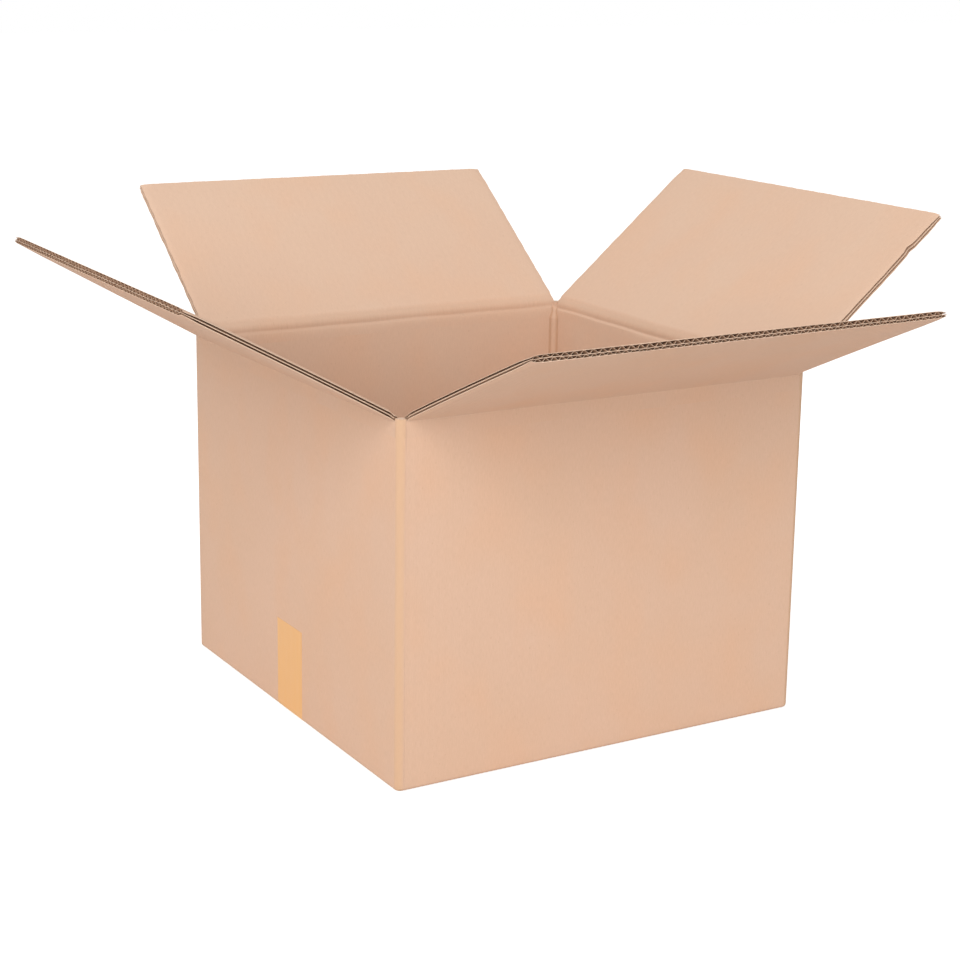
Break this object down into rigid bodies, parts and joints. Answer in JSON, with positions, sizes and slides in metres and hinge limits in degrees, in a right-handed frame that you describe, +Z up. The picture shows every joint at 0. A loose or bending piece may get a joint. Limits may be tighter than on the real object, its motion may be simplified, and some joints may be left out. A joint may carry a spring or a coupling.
{
  "type": "cardboard box",
  "caption": "Open corrugated cardboard box with hinged top flaps standing outwards, a double-wall board and a taped bottom.",
  "frame": {"origin": "centre of the underside, on the surface the box stands on", "axes": "+Z up out of the open top, X along the front panel, the front panel faces -Y"},
  "size_m": [0.7258, 0.7311, 0.4385],
  "materials": {
    "board": "matte",
    "tape": "satin"
  },
  "bodies": {
    "body": {"box_body": "board", "bottom_tape": "tape"},
    "front_flap": {"front_flap": "board"},
    "back_flap": {"back_flap": "board"},
    "left_flap": {"left_flap": "board"},
    "right_flap": {"right_flap": "board"}
  },
  "joints": [
    {"name": "front_flap_fold", "type": "hinge", "parent": "body", "child": "front_flap", "pos_m": [0, -0.19665, 0.30855], "axis": [1, 0, 0], "range_deg": [-155, 70]},
    {"name": "back_flap_fold", "type": "hinge", "parent": "body", "child": "back_flap", "pos_m": [0, 0.19665, 0.30855], "axis": [-1, 0, 0], "range_deg": [-143, 82]},
    {"name": "left_flap_fold", "type": "hinge", "parent": "body", "child": "left_flap", "pos_m": [-0.2001, 0, 0.305], "axis": [0, -1, 0], "range_deg": [-150, 105]},
    {"name": "right_flap_fold", "type": "hinge", "parent": "body", "child": "right_flap", "pos_m": [0.2001, 0, 0.305], "axis": [0, 1, 0], "range_deg": [-140, 115]}
  ]
}
